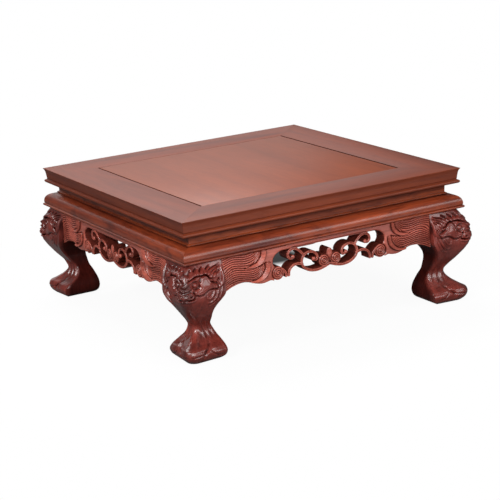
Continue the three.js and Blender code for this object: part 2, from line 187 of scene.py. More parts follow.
def blurred(field, passes):
    """The field averaged with its four neighbours again and again, itself counted four times."""
    for _ in range(passes):
        wide = np.pad(field, 1, mode="edge")
        beside = wide[1:-1, :-2] + wide[1:-1, 2:] + wide[:-2, 1:-1] + wide[2:, 1:-1]
        field = (beside + 4 * field) / 8
    return field


# Meshes


def outward(points, faces):
    """The faces, turned round if the solid they close has a negative volume."""
    a, b, c, d = (points[faces[:, k]] for k in range(4))
    volume = (np.cross(b - a, c - a) * a).sum() + (np.cross(c - a, d - a) * a).sum()
    return faces if volume > 0 else faces[:, ::-1]


# Each copy of a piece, and each kind, is cut from another place in the wood, so that no two show
# the same figure: metres per quarter turn, and per letter of the name
GRAIN_SHIFT, KIND_SHIFT = (0.37, 0.11, 0.23), 0.013


def add_piece(name, node, material, points, quads, others=(), along="x", hollow=None,
              turn=0, sharp=50):
    """Makes the mesh of one piece from points in millimetres, quads and other faces.

    The grain attribute holds, in metres, the place along the piece's length, across it and up.
    The last attribute holds painted shade, from 0 to 1, mostly from how deep in the carving a point
    lies.
    """
    points = np.asarray(points, float)
    axes = {"x": [0, 1, 2], "y": [1, 0, 2], "z": [2, 0, 1]}[along]
    grain = points[:, axes] * MM + np.array(GRAIN_SHIFT) * (turn + 1)
    grain[:, 1] += len(name) * KIND_SHIFT
    cosine, sine = [(1, 0), (0, 1), (-1, 0), (0, -1)][turn]
    placed = points.copy()
    placed[:, 0] = cosine * points[:, 0] - sine * points[:, 1]
    placed[:, 1] = sine * points[:, 0] + cosine * points[:, 1]
    placed[:, :2] = np.clip(placed[:, :2], box_low[:2], box_high[:2])
    mesh = bpy.data.meshes.new(name)
    mesh.from_pydata((placed * MM).tolist(), [], [*quads.tolist(), *others])
    mesh.polygons.foreach_set("use_smooth", np.ones(len(mesh.polygons), bool))
    mesh.set_sharp_from_angle(angle=math.radians(sharp))
    depth = np.zeros(len(points)) if hollow is None else hollow
    for attribute, kind, field, values in (
        ("grain", "FLOAT_VECTOR", "vector", grain), ("hollow", "FLOAT", "value", depth)
    ):
        mesh.attributes.new(attribute, kind, "POINT").data.foreach_set(
            field, np.asarray(values, np.float32).ravel()
        )
    mesh.materials.append(material)
    mesh.validate()
    piece = bpy.data.objects.new(name, mesh)
    bpy.context.scene.collection.objects.link(piece)
    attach(piece, "root")
    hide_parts(node)


def cell_corners(field):
    """The values of a field at the four corners of each cell of its grid, taken in turn."""
    return np.stack([field[:-1, :-1], field[:-1, 1:], field[1:, 1:], field[1:, :-1]], -1)


def ring_quads(rows, columns):
    """Indices of the quads between neighbouring points of a grid whose rows are closed rings."""
    number = np.arange(rows * columns).reshape(rows, columns)
    return cell_corners(np.hstack([number, number[:, :1]])).reshape(-1, 4)


def end_caps(quads, rows, columns):
    """The two faces that close a stack of rings, the first one and the last. A cap runs against
    the direction that its neighbouring quads take round the rim."""
    first, last = list(range(columns)), list(range((rows - 1) * columns, rows * columns))
    (first if quads[0, 0] == 0 else last).reverse()
    return [first, last]


def box_solid(low, high):
    """The eight corners and six quads of a box."""
    corners = np.array([[x, y, z] for z in (low[2], high[2]) for y in (low[1], high[1])
                        for x in (low[0], high[0])])
    quads = np.array([[0, 2, 3, 1], [4, 5, 7, 6], [0, 1, 5, 4], [2, 6, 7, 3], [0, 4, 6, 2],
                      [1, 3, 7, 5]])
    return corners, quads


def mitred_bar(section, stations=25):
    """A profile of insets and heights carried along one side: at the share t of the side the
    point of inset i lies at x = t (half the side - i), so that both ends are mitres."""
    inset, z = np.asarray(section, float).T
    x = np.linspace(-1, 1, stations)[:, None] * (HALF - inset - MITRE_GAP)
    y, z = np.broadcast_to(inset - HALF, x.shape), np.broadcast_to(z, x.shape)
    points = np.stack([x, y, z], -1).reshape(-1, 3)
    quads = outward(points, ring_quads(stations, len(section)))
    return points, quads, end_caps(quads, stations, len(section))


# Materials


# Figure of the wood: repeats per metre along the grain, across it and up
BAND_SCALE = (5, 60, 60)
LINE_SCALE = (16, 620, 620)
PORE_SCALE = (110, 2300, 2300)
CLOUD_SCALE = (38, 120, 120)
BUMP_SCALE = (30, 900, 900)
WHITE = (1.0, 1.0, 1.0)
LINE_COLOUR, LINE_SHARE = (0.52, 0.42, 0.40), 0.75
PORE_COLOUR, PORE_SHARE = (0.25, 0.18, 0.16), 0.5
CLOUD_DARK, CLOUD_PALE = (0.50, 0.44, 0.50), (1.25, 1.2, 0.95)
# Colour of full painted shade, deep in the carving and on hidden wood
PAINTED_SHADE_COLOUR = (0.16, 0.10, 0.10)
MIDDLE_PALE = 0.55  # share of the pale colour in the middle one

# Lacquer
LACQUER_IOR, LACQUER_SPECULAR, COAT_ROUGHNESS = 1.5, 0.5, 0.18
PAINTED_SHADE_DULLNESS = 0.85  # share of the shine that is lost where the painted shade is full
BUMP_DISTANCE = 0.0002

MIX_FIRST, MIX_SECOND, MIX_RESULT = 6, 7, 2  # colour sockets of a Mix node


def linear(hex_colour):
    """A screen colour as linear light, which is what a shader's colour is."""
    channels = [int(hex_colour[k : k + 2], 16) / 255 for k in (0, 2, 4)]
    return tuple(c / 12.92 if c <= 0.04045 else ((c + 0.055) / 1.055) ** 2.4 for c in channels)


def math_node(tree, operation, *values):
    """A sum on values, each a number or another node's output."""
    node = tree.nodes.new("ShaderNodeMath")
    node.operation = operation
    for socket, value in zip(node.inputs, values):
        if isinstance(value, bpy.types.NodeSocket):
            tree.links.new(value, socket)
        else:
            socket.default_value = value
    return node.outputs["Value"]


def stretched_noise(tree, place, scale, detail, distortion=0.0):
    """A noise at a place that is scaled by a number for each axis."""
    stretch = tree.nodes.new("ShaderNodeMapping")
    stretch.inputs["Scale"].default_value = scale
    noise = tree.nodes.new("ShaderNodeTexNoise")
    noise.inputs["Scale"].default_value = 1.0
    noise.inputs["Detail"].default_value = detail
    noise.inputs["Distortion"].default_value = distortion
    tree.links.new(place, stretch.inputs["Vector"])
    tree.links.new(stretch.outputs["Vector"], noise.inputs["Vector"])
    return noise.outputs["Fac"]


def colour_ramp(tree, source, *stops):
    """The colour that a value has between stops, each a position and a colour."""
    ramp = tree.nodes.new("ShaderNodeValToRGB")
    elements = ramp.color_ramp.elements
    for element, (position, colour) in zip(elements, (stops[0], stops[-1])):
        element.position, element.color = position, (*colour, 1)
    for position, colour in stops[1:-1]:
        elements.new(position).color = (*colour, 1)
    tree.links.new(source, ramp.inputs["Fac"])
    return ramp.outputs["Color"]


def multiplied(tree, first, second, share):
    """A colour multiplied by a share of another."""
    mix = tree.nodes.new("ShaderNodeMix")
    mix.data_type = "RGBA"
    mix.blend_type = "MULTIPLY"
    mix.inputs["Factor"].default_value = share
    tree.links.new(first, mix.inputs[MIX_FIRST])
    tree.links.new(second, mix.inputs[MIX_SECOND])
    return mix.outputs[MIX_RESULT]


def rosewood(name, pale, dark, gloss, coat, mottle, figure=1.0, contrast=1.0, pores_up=0.06):
    """Lacquered rosewood. Broad bands of colour and fine dark lines both run along the grain
    attribute's first axis, short dark pores lie between them, and cloudy patches lie over all.
    Painted shade makes the lacquer darker and duller where the point's attribute says that it lies
    deep in the carving or is hidden."""
    material = bpy.data.materials.new(name)
    material.use_nodes = True
    tree = material.node_tree
    shader = tree.nodes["Principled BSDF"]
    shader.inputs["Roughness"].default_value = gloss
    shader.inputs["IOR"].default_value = LACQUER_IOR
    shader.inputs["Coat Roughness"].default_value = COAT_ROUGHNESS

    attributes = {}
    for attribute in ("grain", "hollow"):
        attributes[attribute] = tree.nodes.new("ShaderNodeAttribute")
        attributes[attribute].attribute_name = attribute
    grain = attributes["grain"].outputs["Vector"]
    hollow = attributes["hollow"].outputs["Fac"]

    pale, dark = linear(pale), linear(dark)
    middle = tuple(MIDDLE_PALE * a + (1 - MIDDLE_PALE) * b for a, b in zip(pale, dark))
    band_scale = tuple(figure * scale for scale in BAND_SCALE)
    bands = stretched_noise(tree, grain, band_scale, 3.0, 0.6)
    lines = stretched_noise(tree, grain, LINE_SCALE, 4.0, 0.2)
    pores = stretched_noise(tree, grain, PORE_SCALE, 2.0)
    clouds = stretched_noise(tree, grain, CLOUD_SCALE, 3.0, 1.2)
    colour = colour_ramp(tree, bands, (0.28, dark), (0.48, middle), (0.72, pale))
    for layer, share in (
        (colour_ramp(tree, lines, (0.30, LINE_COLOUR), (0.55, WHITE)), LINE_SHARE * contrast),
        (colour_ramp(tree, pores, (0.30, PORE_COLOUR), (0.40, WHITE)), PORE_SHARE * contrast),
        (colour_ramp(tree, clouds, (0.30, CLOUD_DARK), (0.50, WHITE), (0.75, CLOUD_PALE)), mottle),
        # painted shade, from none to full
        (colour_ramp(tree, hollow, (0.0, WHITE), (1.0, PAINTED_SHADE_COLOUR)), 1.0),
    ):
        colour = multiplied(tree, colour, layer, share)
    tree.links.new(colour, shader.inputs["Base Color"])
    # Painted shade dims the shine as well.
    for socket, shine in (("Specular IOR Level", LACQUER_SPECULAR), ("Coat Weight", coat)):
        duller = math_node(tree, "MULTIPLY_ADD", hollow, -PAINTED_SHADE_DULLNESS * shine, shine)
        tree.links.new(duller, shader.inputs[socket])

    height = tree.nodes.new("ShaderNodeBump")
    height.inputs["Strength"].default_value = pores_up
    height.inputs["Distance"].default_value = BUMP_DISTANCE
    tree.links.new(stretched_noise(tree, grain, BUMP_SCALE, 3.0), height.inputs["Height"])
    tree.links.new(height.outputs["Normal"], shader.inputs["Normal"])
    return material


def batten_wood():
    """Unlacquered wood, with its grain along X in the object's own coordinates."""
    material = bpy.data.materials.new("batten_wood")
    material.use_nodes = True
    tree = material.node_tree
    shader = tree.nodes["Principled BSDF"]
    shader.inputs["Roughness"].default_value = 0.6
    place = tree.nodes.new("ShaderNodeTexCoord").outputs["Object"]
    figure = stretched_noise(tree, place, (12, 300, 300), 4.0)
    colour = colour_ramp(tree, figure, (0.3, linear("3A1A14")), (0.7, linear("6E3626")))
    tree.links.new(colour, shader.inputs["Base Color"])
    return material


# The top is even and close to satin, the waist and moulding show their figure, and the carved
# parts shine most
rail_lacquer = rosewood("rail_lacquer", "8E3E1F", "6A2C1A", gloss=0.44, coat=0.0, mottle=0.2,
                        figure=0.9, contrast=0.4, pores_up=0.015)
panel_lacquer = rosewood("panel_lacquer", "9A4824", "883E20", gloss=0.44, coat=0.0, mottle=0.15,
                         figure=0.6, contrast=0.3, pores_up=0.015)
waist_lacquer = rosewood("waist_lacquer", "B0522A", "5E2418", gloss=0.34, coat=0.15, mottle=0.9)
moulding_lacquer = rosewood("moulding_lacquer", "AC4C28", "5E231A", gloss=0.36, coat=0.35,
                            mottle=0.8)
apron_lacquer = rosewood("apron_lacquer", "D26C5A", "8E4234", gloss=0.32, coat=0.4, mottle=0.25)
leg_lacquer = rosewood("leg_lacquer", "943E34", "4A1C18", gloss=0.3, coat=0.5, mottle=0.2)


# Top frame: hollow face, bead and cove, with the panel's groove in the inner edge

RAIL_SECTION = eased(
    np.vstack(
        [
            through([[0, HEIGHT], [1.5, 127], [2.2, 123.2], [2.6, 119.8]], 6),
            [[2.9, 119.2]],
            through([[2.2, 118.7], [0.8, 117.9], [0.5, 116.5], [1.5, 115.3]], 5),
            through([[3.4, 115.2], [7, 114.7], [9.4, 114], [10.6, RAIL_UNDERSIDE]], 4),
            [[RAIL_WIDTH, RAIL_UNDERSIDE], [RAIL_WIDTH, GROOVE_LOW]],
            [[RAIL_WIDTH - GROOVE_DEPTH, GROOVE_LOW], [RAIL_WIDTH - GROOVE_DEPTH, GROOVE_HIGH]],
            [[RAIL_WIDTH, GROOVE_HIGH], [RAIL_WIDTH, HEIGHT]],
        ]
    ),
    0.35,
)
# The arris at the top's edge is rounder than the other corners, and takes the first one's place.
TOP_ARRIS, CORNER_POINTS = [[1.3, HEIGHT], [0.5, HEIGHT - 0.2], [0.15, HEIGHT - 0.7]], 4
RAIL_SECTION = np.vstack([TOP_ARRIS, RAIL_SECTION[CORNER_POINTS:]])
WAIST_SECTION = eased(
    [[11, WAIST_TOP], [11.2, 106.9], [10.6, 106.3], [9.7, 106], [9.4, 105.4],
     [9.7, WAIST_BOTTOM], [INNER_LINE, WAIST_BOTTOM], [INNER_LINE, WAIST_TOP]],
    0.3,
)
MOULDING_SECTION = eased(
    np.vstack(
        [
            [[INNER_LINE, MOULDING_TOP], [8.8, MOULDING_TOP]],
            through([[8.4, 104.4], [5.5, 103.9], [2.5, 102.6], [0.3, 100.6], [-0.8, 98.4],
                     [-1.2, 96.2], [-1.1, 94.2]], 6),
            [[-0.5, 94]],
            through([[-1.2, 93.8], [-2.2, 93], [-2.2, 92], [-1.3, 91.2]], 5),
            [[-0.6, MOULDING_BOTTOM], [INNER_LINE, MOULDING_BOTTOM]],
        ]
    ),
    0.25,
)
# Each bar's profile, finish and slot, the painted shade on its faces below the top, and the corners
# in
# which painted shade gathers: inset, height and darkness
BARS = {
    "top_rail": (RAIL_SECTION, rail_lacquer, "rail_lacquer", 0.16,
                 ((2.8, 119.4, 0.6), (1.6, 115.2, 0.5), (9.4, 114, 0.6))),
    "waist_board": (WAIST_SECTION, waist_lacquer, "waist_lacquer", 0.0,
                    ((11, 112.4, 0.6), (11.2, 106.9, 0.4), (9.7, 105, 0.6))),
    "moulding": (MOULDING_SECTION, moulding_lacquer, "moulding_lacquer", 0.0,
                 ((8.6, 104.5, 0.6), (-0.6, 94.0, 0.6), (-0.8, 91.1, 0.5))),
}
BAR_TOLERANCE = 0.1
BAR_SHARP, CARVED_APRON_SHARP, CARVED_LEG_SHARP = 32, 80, 75  # degrees


def bar_painted_dark(points, face_painted_dark, corners):
    """Painted shade on a bar: even on its faces below the top, a bell curve of the distance from
    each inner corner of the profile, and full on the wall that meets the panel."""
    below_top = points[:, 2] < HEIGHT - BAR_TOLERANCE
    painted_dark = face_painted_dark * below_top
    for inset, z, darkness in corners:
        away = np.hypot(points[:, 1] + HALF - inset, points[:, 2] - z)
        painted_dark = np.maximum(painted_dark, darkness * np.exp(-((away / CORNER_SHADE_WIDTH) ** 2)))
    painted_dark[(points[:, 1] > RAIL_WIDTH - HALF - BAR_TOLERANCE) & below_top] = 1.0
    return painted_dark


for bar, (section, finish, slot, face_painted_dark, corners) in BARS.items():
    points, quads, caps = mitred_bar(section)
    painted_dark = bar_painted_dark(points, face_painted_dark, corners)
    for turn, side in enumerate(SIDES):
        add_piece(f"{bar}_{side}_wood", f"{bar}_{side}", finish, points, quads, caps,
                  hollow=painted_dark, turn=turn, sharp=BAR_SHARP)


def floating_panel():
    """Four-cornered rings from the middle of the top face over the eased arris, down to the
    tongue and on to the underside. The first and last ring are closed by one face each."""
    flush = HEIGHT - PANEL_DROP
    tongue_low, tongue_high = GROOVE_LOW + TONGUE_SLACK, GROOVE_HIGH - TONGUE_SLACK
    rings = [
        (PANEL_ARRIS, flush), (PANEL_ARRIS * 0.3, flush - PANEL_ARRIS * 0.3),
        (0, flush - PANEL_ARRIS), (0, tongue_high), (-TONGUE_REACH, tongue_high),
        (-TONGUE_REACH, tongue_low), (0, tongue_low), (0, PANEL_UNDERSIDE + PANEL_ARRIS),
        (PANEL_ARRIS, PANEL_UNDERSIDE),
    ]
    edge = HALF - RAIL_WIDTH - np.array(PANEL_GAPS)
    signs = np.array([[-1, -1], [1, -1], [1, 1], [-1, 1]])
    points = np.vstack(
        [np.column_stack([signs * (edge - inset), np.full(4, z)]) for inset, z in rings]
    )
    quads = outward(points, ring_quads(len(rings), 4))
    # Everything below the top face is painted in full shade.
    below_top = points[:, 2] < flush - PANEL_ARRIS / 2
    return points, quads, end_caps(quads, len(rings), 4), below_top


panel_points, panel_quads, panel_caps, panel_painted_dark = floating_panel()
add_piece("top_panel_board", "top_panel", panel_lacquer, panel_points,
          panel_quads, panel_caps, along="y", hollow=panel_painted_dark, sharp=BAR_SHARP)

# Battens keep their drawn solids and get a plain oiled finish
batten_finish = batten_wood()
for node in ("batten_front", "batten_back"):
    batten = bpy.data.objects[node]
    batten.data.materials.clear()
    batten.data.materials.append(batten_finish)


# Aprons: the outlines of the pierced work, from the middle of the side outwards

WING_LOWER_EDGE = [
    [60.5, 60.2], [64, 61.2], [69, 60.3], [74, 60.1], [80, 61.4], [86, 63.5],
    [92, 64.5], [98, 64.2], [104, 62.4], [109, 60.2], [APRON_END, APRON_FOOT],
]
OPENING_END = [
    [44, OPENING_TOP], [52, 86.3], [57.5, 83.8], [60.5, 79.5], [60.4, 75], [58.2, 71.6],
]
WING_NECK = [57, 66]
BIG_VOLUTE = [
    [0, 64.8], [7, 62.4], [14.5, 61.2], [22.5, 62.7], [28.6, 67], [30, 72.8],
    [27, 77.9], [21.4, 79.7], [15.9, 77.9], [13.2, 74], [14.8, 70.9], [17.6, 72.4],
]
OUTER_STRAND = [[29.5, 69.5], [34.5, 70.9], [39, 70.3], [42.4, 67.8], [43.9, 65], [44.2, 62]]
FOOT_STRAND = [[47, 61.9], [47.8, 65.5], [51, 69]]
UPPER_CURL = [
    [28, 78], [31, 81.6], [35, 84.8], [39.6, 85.8], [43.4, 83.6], [44.4, 79.8],
    [42, 77.2], [39.2, 78.2],
]
ROSETTE, ROSETTE_RADIUS = (55.8, 66.2), 6.3
MIDDLE_SPIRAL, MIDDLE_RADIUS = (6.4, 69.0), 5.8
BUD, BUD_RADII = (0.0, 74.4), (3.3, 5.2)
# How high each rounded form rises, and the level that it rises from
STRAND_RISE, STRAND_LEVEL = 1.1, -1.6
DISC_RISE, DISC_LEVEL = 1.5, -1.0
BUD_RISE, BUD_LEVEL = 1.2, -1.4
FORM_MARGIN, OPEN_LEVEL = 0.35, -3.0  # a form's margin, and the level where none is
OPEN_SHADE_LEVEL = -1.5  # the level given to the openings when the painted shade is worked out
CURL_END_RADIUS = 1.9
# Each disc's middle, radius, turns of the spiral cut into it, and the way it turns
DISCS = (
    (ROSETTE, ROSETTE_RADIUS, 3.2, -1),
    (MIDDLE_SPIRAL, MIDDLE_RADIUS, 3.0, 1),
    (BIG_VOLUTE[-1], CURL_END_RADIUS, 0.0, 1),
    (UPPER_CURL[-1], CURL_END_RADIUS, 0.0, 1),
)
COVE_TOP, COVE_RISE, COVE_DEPTH = 88.6, 1.4, 0.9  # under the face of the thin rail

# The carved field beside each leg: two tongues of waves, each ended by a raised crescent
UPPER_CRESCENT = [
    [70.4, 91], [70.6, 87], [71.6, 84], [73.8, 81.2], [77.3, 78.9], [82, 77.5], [88, 76.7],
]
LOWER_CRESCENT = [[66.4, 77.2], [66.8, 72.8], [69, 68.6], [73, 65.4], [78.3, 63.6], [84, 63.4]]
CRESCENT_WIDTH, CRESCENT_RISE = 4.2, 1.9
CRESCENT_TAIL, CRESCENT_TAPER = 0.4, 0.7  # share of the width left, and of the length
CRESCENT_GROOVE, CRESCENT_GROOVE_WIDTH = 0.56, 0.45  # its place is a share of the width
TONGUE_SPLIT = [[90, 77], [84, 76], [77, 76.2], [71.5, 77.2], [68, 78.6]]
SPLIT_DEPTH, GROOVE_WIDTH = 1.5, 0.6
ROSETTE_GROUND = -1.6  # height of the wood that the rosette lies on
BORDER_WIDTH, BORDER_DEPTH = 1.1, 0.7  # eased edge of the solid end
BORDER_LOW_SHARE, BORDER_HEIGHTS = 0.4, (60, 70)  # shallower below these heights
LOWER_WAVE = [[66, 12], [71.5, 8.4], [74.5, 3], [77, 0.8], [81, -0.7], [85, -0.3], [90, 0.6],
              [95, 1.2], [99, 1.2], [103, 0.4], [107, -1.1], [110, -2.6], [112.7, -4.6]]
MIDDLE_WAVE = [[66, 9], [72, 4], [76, 0.6], [80, -1.2], [85, -1.4], [92, -0.3], [97, 0.8],
               [102, 0.8], [106, -0.9], [109.5, -2.8], [112.7, -5]]
UPPER_WAVE = [[66, 18], [72, 12.4], [75, 7.2], [77, 4.4], [79, 2.4], [81.7, 0.8], [86.3, -0.2],
              [91.7, -0.2], [97, 0.8], [102, 1.2], [107, 0.1], [112.7, -1.6]]
WAVE_PITCH, WAVE_SHARPNESS = 2.0, 1.6
WAVE_LEVELS = (66.0, 76.0, 83.0)  # heights at which the three wave lines hold


def strand(x, z, path, half_width=STRAND_WIDTH / 2):
    """Inside distance and height of one scroll: two half-round beads side by side."""
    distance, _ = nearest(x, z, through(path, 8))
    bead = half_width / 2
    return half_width - distance, (
        STRAND_RISE * round_top(distance - bead, bead * 1.02, 0.7) + STRAND_LEVEL
    )


def spiral_disc(x, z, centre, radius, turns, hand):
    """Inside distance and height of a domed disc with a spiral line cut into it, whose angle
    grows with the distance from the middle."""
    dx, dz = x - centre[0], z - centre[1]
    distance = np.hypot(dx, dz)
    phase = hand * np.arctan2(dz, dx) / (2 * np.pi) + distance / radius * turns
    groove = (0.5 + 0.5 * np.cos(2 * np.pi * phase)) ** 2 * smooth_step(distance, 0.2, 0.9)
    dome = DISC_RISE * round_top(distance, radius * 1.04)
    return radius - distance, dome - groove * (turns > 0) + DISC_LEVEL


def carved_waves(x, z):
    """Height of the wave field. The lines of equal z - s(x) are the waves, where s bends from
    the lower wave line through the middle one to the upper one. The ridges are round and the
    grooves between them narrow."""
    lower, middle, upper = (
        np.interp(x, *through(line, 4).T) for line in (LOWER_WAVE, MIDDLE_WAVE, UPPER_WAVE)
    )
    low, mid, high = WAVE_LEVELS
    level = z - lower - (middle - lower) * smooth_step(z, low, mid)
    level -= (upper - middle) * smooth_step(z, mid, high)
    return -((0.5 + 0.5 * np.cos(2 * np.pi * level / WAVE_PITCH)) ** WAVE_SHARPNESS)


def crescent_field(x, z, path, own_side, above):
    """Height of one tongue: waves beyond the crescent, which is a wedge that falls away towards
    them, and a groove between the two. Where the crescent ends, the upper tongue's waves stop
    at its level, and the lower tongue's run on below it."""
    line = through(path, 6)
    tail_x, tail_z = line[-1]
    near, share = nearest(x, z, line)
    beyond = x > np.interp(z, line[::-1, 1], line[::-1, 0])
    in_waves = beyond & (z > tail_z) if above else beyond | (x > tail_x) & (z < tail_z)
    signed = np.where(in_waves, near, -near)
    taper = smooth_step(1 - share, 0.0, CRESCENT_TAPER)
    width = CRESCENT_WIDTH * (CRESCENT_TAIL + (1 - CRESCENT_TAIL) * taper)
    waved = smooth_step(signed, 0.3 * width, 0.5 * width) * smooth_step(APRON_END - x, 0.0, 0.9)
    height = carved_waves(x, z) * waved
    height += np.where(np.abs(signed) < width / 2, CRESCENT_RISE * (0.5 - signed / width), 0)
    beside = (signed - CRESCENT_GROOVE * width) / CRESCENT_GROOVE_WIDTH
    height -= np.exp(-(beside**2)) * (share < 0.98)
    return height * own_side


def wing(x, z):
    """Inside distance and height of the solid end of the apron: the two tongues, the deep cut
    between them, the ground under the rosette and the border round the opening."""
    outline = np.vstack(
        [
            through(WING_LOWER_EDGE, 6),
            [[APRON_END, SHOULDER], [WING_ROOT, SHOULDER], [WING_ROOT, OPENING_TOP]],
            through(OPENING_END, 6),
            [WING_NECK],
        ]
    )
    distance, _ = nearest(x, z, np.vstack([outline, outline[:1]]))
    depth = np.where(inside(x, z, outline), distance, -distance)

    split_line = through(TONGUE_SPLIT, 6)
    upper = z >= np.interp(x, *split_line[::-1].T)
    height = crescent_field(x, z, UPPER_CRESCENT, upper, above=True)
    height += crescent_field(x, z, LOWER_CRESCENT, ~upper, above=False)
    split, _ = nearest(x, z, split_line)
    height -= SPLIT_DEPTH * np.exp(-((split / GROOVE_WIDTH) ** 2))
    rosette = np.hypot(x - ROSETTE[0], z - ROSETTE[1]) - ROSETTE_RADIUS
    height -= np.exp(-((rosette / GROOVE_WIDTH) ** 2))
    height = np.where(rosette < 0, ROSETTE_GROUND, height)
    off_border = smooth_step(depth, 0, BORDER_WIDTH)
    risen = BORDER_LOW_SHARE + (1 - BORDER_LOW_SHARE) * smooth_step(z, *BORDER_HEIGHTS)
    border_depth = BORDER_DEPTH * risen
    return depth, height - border_depth * (1 - off_border)


def top_strip(x, z):
    """Inside distance and height of the thin rail over the opening: a face, then a cove."""
    distance = np.minimum(np.minimum(SHOULDER - z, z - OPENING_TOP), TOP_STRIP_HALF - x)
    return distance, -COVE_DEPTH * smooth_step(COVE_TOP - z, 0, COVE_RISE)


def middle_bud(x, z):
    """Inside distance and height of the oval bud at the middle."""
    bud = np.hypot((x - BUD[0]) / BUD_RADII[0], (z - BUD[1]) / BUD_RADII[1])
    return (1 - bud) * BUD_RADII[0], BUD_RISE * round_top(bud, 1.03) + BUD_LEVEL


def apron_forms(x, z):
    """Inside distance and height of the whole apron: the greatest of its forms'. The height of
    a form counts from a little outside its edge inwards."""
    x = np.abs(x)
    forms = [wing(x, z), top_strip(x, z), middle_bud(x, z)]
    forms += [strand(x, z, path) for path in (BIG_VOLUTE, OUTER_STRAND, FOOT_STRAND, UPPER_CURL)]
    forms += [spiral_disc(x, z, *disc) for disc in DISCS]
    depths, heights = np.array(forms).transpose(1, 0, 2, 3)
    heights = np.where(depths > -FORM_MARGIN, heights, OPEN_LEVEL)
    return depths.max(axis=0), heights.max(axis=0)


def kept_cells(kept, height):
    """The quads of the grid whose corners are all kept, and the triangles of the cells that
    keep three. A quad is rendered as two triangles, so it starts at the corner of its more
    level diagonal."""
    corners = cell_corners(np.arange(kept.size).reshape(kept.shape))
    present, level = cell_corners(kept), cell_corners(height)
    turned = np.abs(level[..., 1] - level[..., 3]) < np.abs(level[..., 0] - level[..., 2])
    cells = np.where(turned[..., None], np.roll(corners, -1, axis=-1), corners)
    three = present.sum(-1) == 3
    triangles = [np.delete(corners[three & ~present[..., k]], k, axis=1) for k in range(4)]
    return cells[present.all(-1)], np.vstack(triangles)


def rim_edges(count, *faces):
    """The edges between points below count that only one face has, in that face's direction."""
    edges = np.vstack([np.stack([f, np.roll(f, -1, axis=1)], -1).reshape(-1, 2) for f in faces])
    forward, reverse = edges @ [count, 1], edges @ [1, count]
    return edges[~np.isin(forward, reverse)]


def pierced_apron():
    """The carved front is a height over a grid, kept where the pierced outline is. Grid points
    near the outline are moved onto it along the outline's own slope, the back is flat, and a
    wall joins the two rims. Points, quads, triangles and painted shade are given."""
    columns = round(2 * APRON_END / APRON_CELL[0]) + 1
    rows = round((SHOULDER - APRON_FOOT) / APRON_CELL[1]) + 1
    line_x = np.linspace(-APRON_END, APRON_END, columns)
    line_z = np.linspace(APRON_FOOT, SHOULDER, rows)
    gx, gz = np.meshgrid(line_x, line_z)
    depth, _ = apron_forms(gx, gz)
    slope_z, slope_x = np.gradient(depth, line_z[1] - line_z[0], line_x[1] - line_x[0])
    step = depth / np.maximum(slope_x**2 + slope_z**2, FLATTEST_SLOPE)
    outside, within = RIM_REACH[0] * min(APRON_CELL), RIM_REACH[1] * min(APRON_CELL)
    kept = depth > -outside
    on_rim = kept & (depth < within)
    # The ends and the top stay straight, where the apron meets the legs and the moulding.
    slides_x = on_rim & (np.abs(gx) < APRON_END - END_TOLERANCE)
    slides_z = on_rim & (gz < SHOULDER - END_TOLERANCE)
    px = gx - np.where(slides_x, step * slope_x, 0)
    pz = np.clip(gz - np.where(slides_z, step * slope_z, 0), APRON_FOOT, SHOULDER)
    _, height = apron_forms(px, pz)
    quads, triangles = kept_cells(kept, height)

    used, number = np.unique(np.append(quads, triangles), return_inverse=True)
    quads, triangles = number[: quads.size].reshape(-1, 4), number[quads.size :].reshape(-1, 3)
    # Painted shade: darker where the carving lies below its blurred self, with an even darkening
    # added over the pierced middle.
    soft = blurred(np.where(kept, height, OPEN_SHADE_LEVEL), APRON_BLUR)
    px, pz, relief, soft = (field.ravel()[used] for field in (px, pz, height, soft))
    pierced = smooth_step(WING_NECK[0] - np.abs(px), 0, PIERCED_EASE)
    painted_dark = np.clip((soft - relief) / APRON_SHADE_RISE + PIERCED_DARKENING * pierced, 0, 1)
    face_y, count = APRON_FACE - HALF, len(used)
    front = np.column_stack([px, face_y - relief, pz])
    back = np.column_stack([px, np.full(count, face_y + APRON_THICKNESS), pz])

    rim = rim_edges(count, quads, triangles)
    rim_points, ring = np.unique(rim, return_inverse=True)
    ring = ring.reshape(-1, 2) + 2 * count
    # A ring just behind the carved edge, from which the walls are painted in deep shade.
    set_back = front[rim_points] + [0, WALL_EDGE, 0]
    edge = np.column_stack([rim[:, ::-1], ring])
    walls = np.column_stack([ring[:, ::-1], rim + count])
    return (
        np.vstack([front, back, set_back]),
        np.vstack([quads, quads[:, ::-1] + count, edge, walls]),
        np.vstack([triangles, triangles[:, ::-1] + count]),
        np.concatenate([painted_dark, np.full(count, BACK_PAINTED_SHADE), np.full(len(set_back), HIDDEN_PAINTED_SHADE)]),
    )


apron_points, apron_quads, apron_triangles, apron_painted_dark = pierced_apron()
for turn, side in enumerate(SIDES):
    add_piece(f"apron_{side}_carving", f"apron_{side}", apron_lacquer,
              apron_points, apron_quads, apron_triangles.tolist(), hollow=apron_painted_dark, turn=turn,
              sharp=CARVED_APRON_SHARP)


# Legs. Each level gives the inset of the corner line, the corner's radius, the inset of the
# outer faces at their inner edges, and the inset of the two flat inner faces.
LEG_LEVELS = np.array(
    [
        [0, 2.6, 7, 2.5, 30],
        [1.2, 1, 7, 0.8, 32.6],
        [3.5, -1, 7, -1.4, 34.8],
        [8, -2.2, 7, -2.4, 36],
        [12, -1, 7, 0.6, 35.8],
        [16, 3.6, 7, 6.5, 35],
        [20, 8.6, 6, 12, 33.6],
        [25, 12.6, 5, 15, 31.6],
        [30, 13.5, 5, 14.8, 29.3],
        [36, 9.8, 6, 9.6, 28],
        [42, 5, 7, 5, 27.2],
        [47, 1.4, 7, 1.4, 27.6],
        [51.5, -1.6, 7, -1.6, 29.4],
        [55, -3.2, 7, -3.6, 31.8],
        [58, -4.2, 7, -4.7, 34.3],
        [60.5, -4.5, 7, -5, 36.2],
        [64, -4.6, 7, -5, 37],
        [72, -4, 7, -4, 37],
        [80, -1.8, 7, -1.8, 37],
        [86, 1.4, 7, 0.4, 37],
        [SHOULDER, 4.4, 7, 2, 37],
    ],
    float,
)


